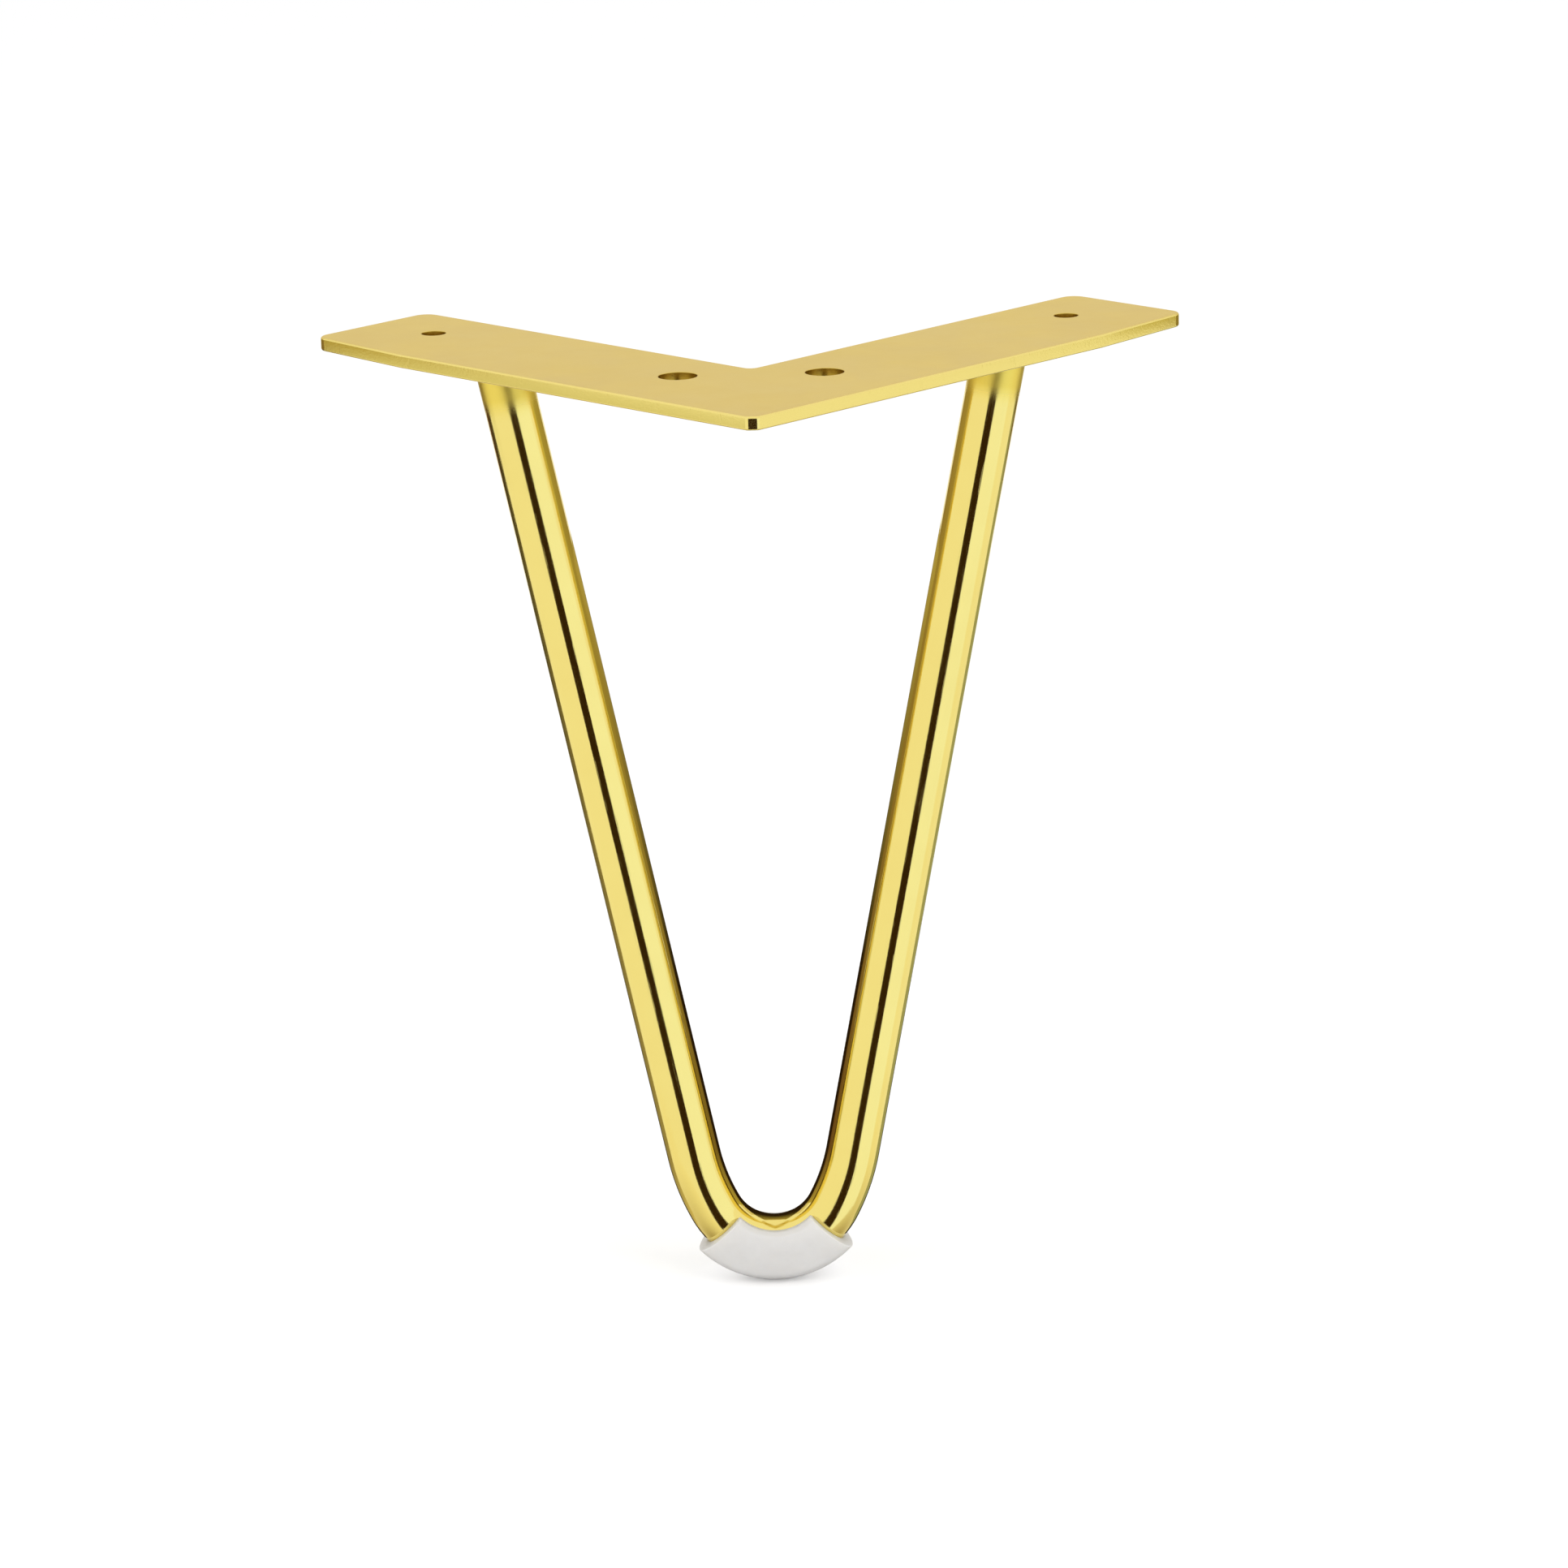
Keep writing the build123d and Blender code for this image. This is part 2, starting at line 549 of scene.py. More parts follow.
POLISHED_GOLD = Finish(
    name="polished_gold_bar",
    look=SurfaceLook(
        main_tone=(0.90, 0.745, 0.225, 1.0),
        second_tone=(0.87, 0.70, 0.20, 1.0),
        cloud_scale=28.0,
        cloud_amount=0.6,
        clear=0.07,
        hazy=0.13,
        haze_scale=90.0,
        scratch_scale=2600.0,
        scratch_stretch=0.03,
        scratch_rarity=0.62,
        scratch_roughness=0.07,
        grain_scale=900.0,
        wave_scale=60.0,
        wave_share=2.0,
        bump_distance=0.000004,
    ),
    shader=GOLD_SHADER,
    lay=Lay.ALONG_BAR,
    patches=(Patch("unpolished_end", tone=(0.92, 0.72, 0.13, 1.0), roughness=0.42),),
)

SATIN_GOLD = Finish(
    name="satin_gold_plate",
    look=SurfaceLook(
        main_tone=(0.90, 0.735, 0.25, 1.0),
        second_tone=(0.86, 0.69, 0.225, 1.0),
        cloud_scale=30.0,
        cloud_amount=0.8,
        clear=0.30,
        hazy=0.40,
        haze_scale=70.0,
        scratch_scale=1500.0,
        scratch_stretch=0.2,
        scratch_rarity=0.63,
        scratch_roughness=0.05,
        grain_scale=2600.0,
        wave_scale=45.0,
        wave_share=3.0,
        bump_distance=0.00001,
    ),
    shader=GOLD_SHADER,
    patches=(
        Patch("edge_share", tone=(0.89, 0.735, 0.225, 1.0), roughness=0.16),
        # Hole walls: a dark brown tone, painted shade standing in for the shade inside the holes.
        Patch("hole_shade_share", tone=(0.52, 0.345, 0.045, 1.0), roughness=0.28),
    ),
)

WELD_GOLD = Finish(
    name="gold_weld",
    look=SurfaceLook(
        main_tone=(0.84, 0.675, 0.21, 1.0),
        second_tone=(0.74, 0.56, 0.165, 1.0),
        cloud_scale=160.0,
        cloud_amount=0.8,
        clear=0.14,
        hazy=0.26,
        haze_scale=300.0,
        scratch_scale=2200.0,
        scratch_stretch=0.5,
        scratch_rarity=0.64,
        scratch_roughness=0.05,
        grain_scale=1800.0,
        wave_scale=350.0,
        wave_share=1.0,
        bump_distance=0.00002,
    ),
    shader=GOLD_SHADER,
)

MILKY_PLASTIC = Finish(
    name="milky_plastic",
    look=SurfaceLook(
        main_tone=(0.84, 0.82, 0.80, 1.0),
        second_tone=(0.785, 0.76, 0.74, 1.0),
        cloud_scale=90.0,
        cloud_amount=0.7,
        clear=0.34,
        hazy=0.46,
        haze_scale=160.0,
        scratch_scale=1200.0,
        scratch_stretch=0.6,
        scratch_rarity=0.64,
        scratch_roughness=0.08,
        grain_scale=2400.0,
        wave_scale=260.0,
        wave_share=1.5,
        bump_distance=0.00002,
    ),
    shader={
        "Subsurface Weight": 0.8,
        "Subsurface Radius": (1.0, 0.95, 0.9),
        "Subsurface Scale": 0.005,
        "IOR": 1.49,
    },
)


# The leg's sub-assemblies


@dataclass(frozen=True)
class LegPlan:
    """The driving sizes that the sub-assemblies share, and the places worked out from them."""

    overall_height: float = 180.0 * MM
    plate_thickness: float = 2.5 * MM
    half_spread: float = radians(45.0)
    bar_radius: float = 5.0 * MM
    bend_radius: float = 12.5 * MM
    shoulder_radius: float = 40.0 * MM
    shoulder_angle: float = radians(62.0)
    weld_half_span: float = 45.5 * MM
    sleeve_bore_radius: float = 5.1 * MM
    sleeve_outer_radius: float = 7.4 * MM

    @property
    def plate_underside(self) -> float:
        """Height of the plate's lower face."""
        return -self.plate_thickness

    @property
    def bar_plane_y(self) -> float:
        """Where the plane of the bar's U crosses the Y axis."""
        return self.weld_half_span / tan(self.half_spread)

    @property
    def bend_centre_z(self) -> float:
        """Height of the centre that the bar bends round."""
        return self.bend_radius + self.sleeve_outer_radius - self.overall_height

    @property
    def shoulder_centre(self) -> Point:
        """Centre of the right shoulder's circle, sideways and upwards from the bend's centre."""
        ease = self.shoulder_radius - self.bend_radius
        return -ease * sin(self.shoulder_angle), ease * cos(self.shoulder_angle)

    @property
    def lean(self) -> float:
        """Angle of the bar's straight sides from the upright.

        Returns:
            The angle, in radians.
        """
        centre_x, centre_z = self.shoulder_centre
        reach = self.weld_half_span - centre_x
        rise = self.plate_underside - self.bend_centre_z - centre_z
        return acos(self.shoulder_radius / hypot(reach, rise)) - atan2(rise, reach)

    @property
    def straight_length(self) -> float:
        """Length of each straight side, along its axis, from the shoulder to the plate."""
        tangent_z = self.bend_centre_z + self.shoulder_centre[1] - self.shoulder_radius * sin(self.lean)
        return (self.plate_underside - tangent_z) / cos(self.lean)


@dataclass
class MountingPlate:
    """The V-shaped plate, with rounded edges and four drilled holes."""

    plan: LegPlan
    arm_width: float = 30.0 * MM
    arm_length: float = 115.5 * MM
    taper_length: float = 25.0 * MM
    tip_width: float = 28.0 * MM
    tip_corner_radius: float = 3.0 * MM
    outer_mitre_radius: float = 2.5 * MM
    mitre_flat_softness: float = 0.9 * MM
    inner_mitre_radius: float = 1.5 * MM
    edge_radius: float = 0.4 * MM
    hole_line: float = 17.5 * MM
    holes: tuple[Point, ...] = ((36.0 * MM, 3.5 * MM), (100.0 * MM, 2.25 * MM))
    rim_radius: float = 0.15 * MM
    arc_steps: int = 10
    round_steps: int = 4
    hole_steps: int = 64

    def on_arm(self, along: float, across: float) -> Vector:
        """Plan position on the +X arm.

        Args:
            along: Distance along the arm's outer edge, from the V's outer corner.
            across: Distance inwards from that edge.

        Returns:
            The position.
        """
        turn = self.plan.half_spread
        x = along * sin(turn) - across * cos(turn)
        y = along * cos(turn) + across * sin(turn) - self.arm_width / 2 / sin(turn)
        return Vector((x, y))

    def corners(self) -> list[tuple[Vector, float]]:
        """The outline's corners, counter-clockwise from the V's outer corner.

        The outer corner is ground to a narrow flat, which touches the rounded corner's foremost point.

        Returns:
            Each corner with its radius, which is 0 where it stays sharp.
        """
        turn = self.plan.half_spread
        ground_off = self.outer_mitre_radius * (1 / sin(turn) - 1)
        flat_end = self.on_arm(ground_off / cos(turn), 0.0)
        kink = self.on_arm(self.arm_length - self.taper_length, 0.0)
        front = self.on_arm(self.arm_length, self.arm_width - self.tip_width)
        back = self.on_arm(self.arm_length, self.arm_width)
        inner = self.on_arm(self.arm_width / tan(turn), self.arm_width)
        side = [
            (flat_end, self.mitre_flat_softness),
            (kink, 0.0),
            (front, self.tip_corner_radius),
            (back, self.tip_corner_radius),
        ]
        other = [(Vector((-point.x, point.y)), radius) for point, radius in reversed(side)]
        return [*side, (inner, self.inner_mitre_radius), *other]

    def outline(self, inset: float) -> list[Vector]:
        """The plate's outline, drawn in from its true edge.

        Args:
            inset: How far every edge is moved inwards.

        Returns:
            The outline's points, counter-clockwise, as many at any inset.
        """
        corners = self.corners()
        points: list[Vector] = []
        for i, (corner, radius) in enumerate(corners):
            before = (corner - corners[i - 1][0]).normalized()
            after = (corners[(i + 1) % len(corners)][0] - corner).normalized()
            turn = atan2(before.cross(after), before.dot(after))
            inward = (Vector((-before.y, before.x)) + Vector((-after.y, after.x))).normalized()
            if not radius:
                points.append(corner + inward * inset / cos(turn / 2))
                continue
            bulge = 1.0 if turn > 0 else -1.0
            centre = corner + inward * bulge * radius / cos(turn / 2)
            start = atan2(before.x, -before.y) + (pi if bulge > 0 else 0.0)
            for step in range(self.arc_steps + 1):
                angle = start + turn * step / self.arc_steps
                arm = radius - bulge * inset
                points.append(centre + Vector((cos(angle), sin(angle))) * arm)
        return points

    def circle(self, centre: Vector, radius: float) -> list[Vector]:
        """A hole's rim as points."""
        turns = [2 * pi * step / self.hole_steps for step in range(self.hole_steps)]
        return [centre + Vector((cos(turn), sin(turn))) * radius for turn in turns]

    def profile(self, rounding: float) -> list[tuple[float, float, float]]:
        """Steps down the plate's edge, rounded above and below.

        Args:
            rounding: The radius of both rounds.

        Returns:
            For each step, its inset from the edge, its height, and how much of it is edge.
        """
        quarter = [pi / 2 * step / self.round_steps for step in range(self.round_steps + 1)]
        upper = [(rounding * (1 - sin(a)), rounding * (cos(a) - 1), a / (pi / 2)) for a in quarter]
        depth = self.plan.plate_thickness
        lower = [(inset, -depth - height, share) for inset, height, share in reversed(upper)]
        return upper + lower

    def build(self) -> bpy.types.Object:
        """Builds the plate's mesh.

        Returns:
            The plate, with one attribute that is 1 on its edges and one that is 1 in its holes.
        """
        shell = bmesh.new()
        edge_share = shell.verts.layers.float.new("edge_share")
        hole_shade_share = shell.verts.layers.float.new("hole_shade_share")
        walls = [(self.profile(self.edge_radius), edge_share, self.outline)]
        # The holes' walls are marked with the attribute that carries their painted shade.
        for along, radius in self.holes:
            spot = self.on_arm(along, self.hole_line)
            for centre in (spot, Vector((-spot.x, spot.y))):
                rim = self.profile(self.rim_radius)
                walls.append((rim, hole_shade_share, lambda inset, c=centre, r=radius: self.circle(c, r + inset)))
        top_edges, bottom_edges = [], []
        for steps, marker, loop in walls:
            rings = []
            for inset, height, share in steps:
                ring = [shell.verts.new((p.x, p.y, height)) for p in loop(inset)]
                for vertex in ring:
                    vertex[marker] = share
                rings.append(ring)
            for upper, lower in zip(rings, rings[1:]):
                join_rings(shell, upper, lower)
            for ring, edges in ((rings[0], top_edges), (rings[-1], bottom_edges)):
                edges += [shell.edges.get((ring[i - 1], ring[i])) for i in range(len(ring))]
        for edges in (top_edges, bottom_edges):
            bmesh.ops.triangle_fill(shell, edges=edges, use_beauty=True)
        return mesh_object("satin_plate", shell)

    def dress(self, finish: bpy.types.Material) -> bpy.types.Object:
        """Builds the plate, gives it its finish and sets it in the frame.

        Args:
            finish: The plate's material.

        Returns:
            The finished piece.
        """
        piece = self.build()
        shade_by_area(piece, SHARP_TURN)
        piece.data.materials.append(finish)
        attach(piece, "root")
        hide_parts("mounting_plate")
        return piece


@dataclass
class HairpinBar:
    """The round bar, bent into a narrow U and cut flush with the plate's underside."""

    plan: LegPlan
    unpolished_length: float = 6.0 * MM
    polish_fade: float = 3.5 * MM
    rings: int = 361
    sides: int = 112
    end_share: float = 0.9999

    def build(self, finish: bpy.types.Material) -> bpy.types.Object:
        """Sweeps the bar along its rule: a tight bend, eased by two shoulders into leaning straight sides.

        Args:
            finish: The bar's material.

        Returns:
            The bar.
        """
        plan = self.plan
        tree = GeometryTree(
            "bent_bar",
            {
                "Bar Radius": plan.bar_radius,
                "Bend Radius": plan.bend_radius,
                "Bend Angle": plan.shoulder_angle,
                "Bend Centre Height": plan.bend_centre_z,
                "Shoulder Radius": plan.shoulder_radius,
                "Lean": plan.lean,
                "Straight Length": plan.straight_length,
                "Bar Plane": plan.bar_plane_y,
                "Plate Underside": plan.plate_underside,
                "Unpolished Length": self.unpolished_length,
                "Polish Fade": self.polish_fade,
                "Rings": self.rings,
                "Sides": self.sides,
                "Finish": finish,
            },
        )
        size = tree.inlets

        def on_circle(radius: Feed, angle: Feed) -> tuple[Socket, Socket]:
            """Sideways and upward place on a circle, at an angle from its lowest point."""
            across = tree.product(radius, tree.math("SINE", angle))
            return across, tree.product(radius, tree.math("COSINE", angle), -1.0)

        # Distance along the bar from its lowest point, negative on the left
        steepest = tree.math("SUBTRACT", pi / 2, size["Lean"])
        bend_length = tree.product(size["Bend Radius"], size["Bend Angle"])
        shoulder_turn = tree.math("SUBTRACT", steepest, size["Bend Angle"])
        shoulder_length = tree.product(size["Shoulder Radius"], shoulder_turn)
        half_length = tree.total(bend_length, shoulder_length, size["Straight Length"])
        factor = tree.add("GeometryNodeSplineParameter").outputs["Factor"]
        place = tree.math("MULTIPLY_ADD", factor, 2.0, -1.0)
        along = tree.product(place, half_length)
        length = tree.math("ABSOLUTE", along)
        past_bend = tree.math("SUBTRACT", length, bend_length)
        past_shoulder = tree.math("SUBTRACT", past_bend, shoulder_length)
        on_bend = tree.math("LESS_THAN", past_bend, 0.0)
        on_shoulder = tree.math("LESS_THAN", past_shoulder, 0.0)

        # The bend, its shoulders and the straight sides, from the bend's centre
        bend_x, bend_z = on_circle(size["Bend Radius"], tree.math("DIVIDE", length, size["Bend Radius"]))
        ease = tree.math("SUBTRACT", size["Bend Radius"], size["Shoulder Radius"])
        centre_x, centre_z = on_circle(ease, size["Bend Angle"])
        turned = tree.total(size["Bend Angle"], tree.math("DIVIDE", past_bend, size["Shoulder Radius"]))
        shoulder_x, shoulder_z = on_circle(size["Shoulder Radius"], turned)
        tangent_x, tangent_z = on_circle(size["Shoulder Radius"], steepest)
        straight_x = tree.math("MULTIPLY_ADD", past_shoulder, tree.math("SINE", size["Lean"]), tangent_x)
        straight_z = tree.math("MULTIPLY_ADD", past_shoulder, tree.math("COSINE", size["Lean"]), tangent_z)
        upper_x = tree.total(centre_x, tree.pick(on_shoulder, shoulder_x, straight_x))
        upper_z = tree.total(centre_z, tree.pick(on_shoulder, shoulder_z, straight_z))
        x = tree.product(tree.pick(on_bend, bend_x, upper_x), tree.math("SIGN", along))
        z = tree.total(tree.pick(on_bend, bend_z, upper_z), size["Bend Centre Height"])

        line = tree.add("GeometryNodeCurvePrimitiveLine").outputs[0]
        points = tree.add("GeometryNodeResampleCurve", {"Curve": line, "Count": size["Rings"]}).outputs[0]
        marked = tree.store(points, "place", "FLOAT", place)
        marked = tree.store(marked, "along", "FLOAT", along)
        from_plate = tree.math("SUBTRACT", half_length, length)
        polished_from = tree.total(size["Unpolished Length"], size["Polish Fade"])
        unpolished = tree.spread(from_plate, size["Unpolished Length"], polished_from, 1.0, 0.0)
        marked = tree.store(marked, "unpolished_end", "FLOAT", unpolished)
        feeds = {"Geometry": marked, "Position": tree.vector(x, size["Bar Plane"], z)}
        path = tree.add("GeometryNodeSetPosition", feeds).outputs[0]

        feeds = {"Resolution": size["Sides"], "Radius": size["Bar Radius"]}
        circle = tree.add("GeometryNodeCurvePrimitiveCircle", feeds).outputs[0]
        spot = tree.add("GeometryNodeInputPosition").outputs[0]
        circle = tree.store(circle, "around", "FLOAT_VECTOR", spot)
        feeds = {"Curve": path, "Profile Curve": circle, "Fill Caps": True}
        tube = tree.add("GeometryNodeCurveToMesh", feeds).outputs[0]

        # The flush cut: the last ring at each end slides along the bar to the plate's underside
        spot = tree.add("GeometryNodeInputPosition").outputs[0]
        spot_parts = tree.add("ShaderNodeSeparateXYZ", {0: spot}).outputs
        end_distance = tree.math("ABSOLUTE", tree.recall("place", "FLOAT"))
        is_end = tree.math("GREATER_THAN", end_distance, self.end_share)
        gap = tree.math("SUBTRACT", size["Plate Underside"], spot_parts["Z"])
        outward = tree.product(tree.math("SIGN", spot_parts["X"]), gap, tree.math("TANGENT", size["Lean"]))
        feeds = {"Geometry": tube, "Selection": is_end, "Offset": tree.vector(outward, 0.0, gap)}
        cut = tree.add("GeometryNodeSetPosition", feeds).outputs[0]

        # Coordinates for the drawn lines: round the bar in X and Y, along it in Z
        round_parts = tree.add("ShaderNodeSeparateXYZ", {0: tree.recall("around", "FLOAT_VECTOR")}).outputs
        lay = tree.vector(round_parts["X"], round_parts["Y"], tree.recall("along", "FLOAT"))
        cut = tree.store(cut, Lay.ALONG_BAR.value, "FLOAT_VECTOR", lay)
        for name in ("place", "along", "around"):
            cut = tree.add("GeometryNodeRemoveAttribute", {"Geometry": cut, "Name": name}).outputs[0]
        tree.close(cut)
        return tree.run("polished_bar")

    def dress(self, finish: bpy.types.Material) -> bpy.types.Object:
        """Builds the bar and sets it in the frame.

        Args:
            finish: The bar's material.

        Returns:
            The finished piece.
        """
        piece = self.build(finish)
        piece.data.set_sharp_from_angle(angle=SHARP_TURN)
        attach(piece, "root")
        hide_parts("hairpin_rod")
        return piece


class WeldSide(Enum):
    """Which end of the bar a bead joins to the plate."""

    LEFT = -1
    RIGHT = 1


@dataclass
class WeldBead:
    """A hollow fillet of weld round one end of the bar, with the ripples that the welder leaves."""

    plan: LegPlan
    side: WeldSide
    leg: float = 1.8 * MM
    toe: float = 0.12 * MM
    ripples: int = 34
    ripple_depth: float = 0.16
    ripple_bow: float = 1.1
    steps_around: int = 340
    steps_across: int = 20
    face_share: float = 0.7
    face_margin: float = 0.001
    sharp_turn: float = radians(50.0)

    @property
    def name(self) -> str:
        """The piece's name."""
        return f"{self.side.name.lower()}_weld_ripples"

    def build(self, finish: bpy.types.Material) -> bpy.types.Object:
        """Wraps a grid into the bead: round the bar one way, round the bead's section the other way.

        Args:
            finish: The bead's material.

        Returns:
            The bead.
        """
        back_legs = 3
        grid_size = 1.0
        plan = self.plan
        tree = GeometryTree(
            self.name,
            {
                "Bar Radius": plan.bar_radius,
                "Lean": plan.lean,
                "Weld Half Span": plan.weld_half_span,
                "Side": float(self.side.value),
                "Bar Plane": plan.bar_plane_y,
                "Plate Underside": plan.plate_underside,
                "Leg": self.leg,
                "Toe": self.toe,
                "Ripples": float(self.ripples),
                "Ripple Depth": self.ripple_depth,
                "Ripple Bow": self.ripple_bow,
                "Finish": finish,
            },
        )
        size = tree.inlets
        feeds = {
            "Size X": grid_size,
            "Size Y": grid_size,
            "Vertices X": self.steps_around + 1,
            "Vertices Y": self.steps_across + 1,
        }
        grid = tree.add("GeometryNodeMeshGrid", feeds).outputs[0]
        position = tree.add("GeometryNodeInputPosition").outputs[0]
        spot = tree.add("ShaderNodeSeparateXYZ", {0: position}).outputs
        turn = tree.math("MULTIPLY", tree.math("ADD", spot["X"], grid_size / 2), 2 * pi)
        across = tree.math("ADD", spot["Y"], grid_size / 2)

        # The bead's hollow face, from its toe on the plate to its toe on the bar
        on_face = tree.math("LESS_THAN", across, self.face_share + self.face_margin)
        angle = tree.math("MULTIPLY", across, pi / 2 / self.face_share)
        face_depth = tree.product(size["Leg"], tree.math("SUBTRACT", 1.0, tree.math("COSINE", angle)))
        full_reach = tree.total(size["Leg"], size["Toe"])
        hollow = tree.product(size["Leg"], tree.math("SINE", angle))
        face_reach = tree.math("SUBTRACT", full_reach, hollow)

        # Its back: along the bar up to the plate, then out under the plate
        past_face = tree.math("SUBTRACT", across, self.face_share)
        past = tree.math("MULTIPLY", past_face, back_legs / (1 - self.face_share))
        to_bar = tree.spread(past, 0.0, 1.0, 1.0, 0.0)
        up_bar = tree.spread(past, 1.0, 2.0, 1.0, 0.0)
        along_plate = tree.spread(past, 2.0, 3.0, 0.0, 1.0)
        back_depth = tree.product(size["Leg"], up_bar)
        toe_part = tree.product(size["Toe"], to_bar)
        back_reach = tree.total(toe_part, tree.product(full_reach, along_plate))

        depth = tree.pick(on_face, face_depth, back_depth)
        reach = tree.pick(on_face, face_reach, back_reach)

        # Ripples: rounded crests with sharp valleys, bowed along the weld
        bow = tree.product(size["Ripple Bow"], tree.math("DIVIDE", depth, size["Leg"]))
        phase = tree.math("MULTIPLY_ADD", turn, tree.math("DIVIDE", size["Ripples"], 2.0), bow)
        valley = tree.math("SUBTRACT", 1.0, tree.math("ABSOLUTE", tree.math("SINE", phase)))
        kept = tree.math("SUBTRACT", 1.0, tree.product(valley, size["Ripple Depth"]))
        rippled = tree.product(reach, kept)

        bar_half_long = tree.math("DIVIDE", size["Bar Radius"], tree.math("COSINE", size["Lean"]))
        half_long = tree.total(bar_half_long, rippled)
        half_wide = tree.total(size["Bar Radius"], rippled)
        inward = tree.product(depth, tree.math("TANGENT", size["Lean"]))
        middle = tree.product(tree.math("SUBTRACT", size["Weld Half Span"], inward), size["Side"])
        x = tree.math("MULTIPLY_ADD", tree.math("COSINE", turn), half_long, middle)
        y = tree.math("MULTIPLY_ADD", tree.math("SINE", turn), half_wide, size["Bar Plane"])
        z = tree.math("SUBTRACT", size["Plate Underside"], depth)
        feeds = {"Geometry": grid, "Position": tree.vector(x, y, z)}
        wrapped = tree.add("GeometryNodeSetPosition", feeds).outputs[0]
        feeds = {"Geometry": wrapped, "Distance": MERGE_DISTANCE}
        tree.close(tree.add("GeometryNodeMergeByDistance", feeds).outputs[0])
        return tree.run(self.name)

    def dress(self, finish: bpy.types.Material) -> bpy.types.Object:
        """Builds the bead and sets it in the frame.

        Args:
            finish: The bead's material.

        Returns:
            The finished piece.
        """
        piece = self.build(finish)
        shell = bmesh.new()
        shell.from_mesh(piece.data)
        bmesh.ops.recalc_face_normals(shell, faces=shell.faces)
        shell.to_mesh(piece.data)
        shell.free()
        piece.data.set_sharp_from_angle(angle=self.sharp_turn)
        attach(piece, "root")
        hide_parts(f"{self.side.name.lower()}_weld_bead")
        return piece


@dataclass
class FootSleeve:
    """The plastic sleeve of C section that is clipped over the bend."""

    plan: LegPlan
    half_angle: float = radians(47.0)
    lip_reach: float = 3.5 * MM
    lip_chamfer: float = 0.7 * MM
    edge_softness: float = 0.3 * MM
    softened_from: float = radians(24.0)
    softening_steps: int = 4
    arc_steps: int = 48
    rings: int = 73

    def wall(self, radius: float, lead_in: float) -> list[Point]:
        """One wall of the C section, from lip to lip: its arc, with a chamfer at each end.

        Args:
            radius: The wall's radius about the bar's axis.
            lead_in: The chamfer's legs, positive where it widens the mouth.

        Returns:
            The points, as distance outwards from the bend and sideways.
        """
        lip_side = sqrt(radius**2 - self.lip_reach**2) + lead_in
        end = pi / 2 + asin(self.lip_reach / radius) - abs(lead_in) / radius
        turns = [end * (2 * step / self.arc_steps - 1) for step in range(self.arc_steps + 1)]
        arc = [(radius * cos(turn), radius * sin(turn)) for turn in turns]
        return [(-self.lip_reach, -lip_side), *arc, (-self.lip_reach, lip_side)]

    def place(self, point: Point, turn: float) -> Vector:
        """Turns a point of the section round the bend's centre.

        Args:
            point: The point, as distance outwards from the bend and sideways.
            turn: The angle from the bend's lowest point, in radians.

        Returns:
            The point's place.
        """
        outwards = self.plan.bend_radius + point[0]
        x = outwards * sin(turn)
        z = self.plan.bend_centre_z - outwards * cos(turn)
        return Vector((x, self.plan.bar_plane_y + point[1], z))

    def build(self) -> bpy.types.Object:
        """Turns the section round the bend and softens its edges.

        Returns:
            The sleeve.
        """
        outer = self.wall(self.plan.sleeve_outer_radius, -self.lip_chamfer)
        inner = self.wall(self.plan.sleeve_bore_radius, self.lip_chamfer)
        section = outer + inner[::-1]
        shell = bmesh.new()
        rings = []
        for step in range(self.rings):
            turn = self.half_angle * (2 * step / (self.rings - 1) - 1)
            rings.append([shell.verts.new(self.place(point, turn)) for point in section])
        for first, second in zip(rings, rings[1:]):
            join_rings(shell, first, second)
        count = len(section)
        for ring in (rings[0], rings[-1]):
            for i in range(count // 2 - 1):
                shell.faces.new((ring[i], ring[i + 1], ring[count - 2 - i], ring[count - 1 - i]))
        bmesh.ops.recalc_face_normals(shell, faces=shell.faces)
        sharp = [edge for edge in shell.edges if edge.calc_face_angle(0.0) > self.softened_from]
        bmesh.ops.bevel(
            shell,
            geom=sharp,
            offset=self.edge_softness,
            segments=self.softening_steps,
            profile=0.5,
            affect="EDGES",
            clamp_overlap=True,
        )
        return mesh_object("milky_sleeve", shell)

    def dress(self, finish: bpy.types.Material) -> bpy.types.Object:
        """Builds the sleeve, gives it its finish and sets it in the frame.

        Args:
            finish: The sleeve's material.

        Returns:
            The finished piece.
        """
        piece = self.build()
        shade_by_area(piece, SHARP_TURN)
        piece.data.materials.append(finish)
        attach(piece, "root")
        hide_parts("floor_protector")
        return piece


# The studio


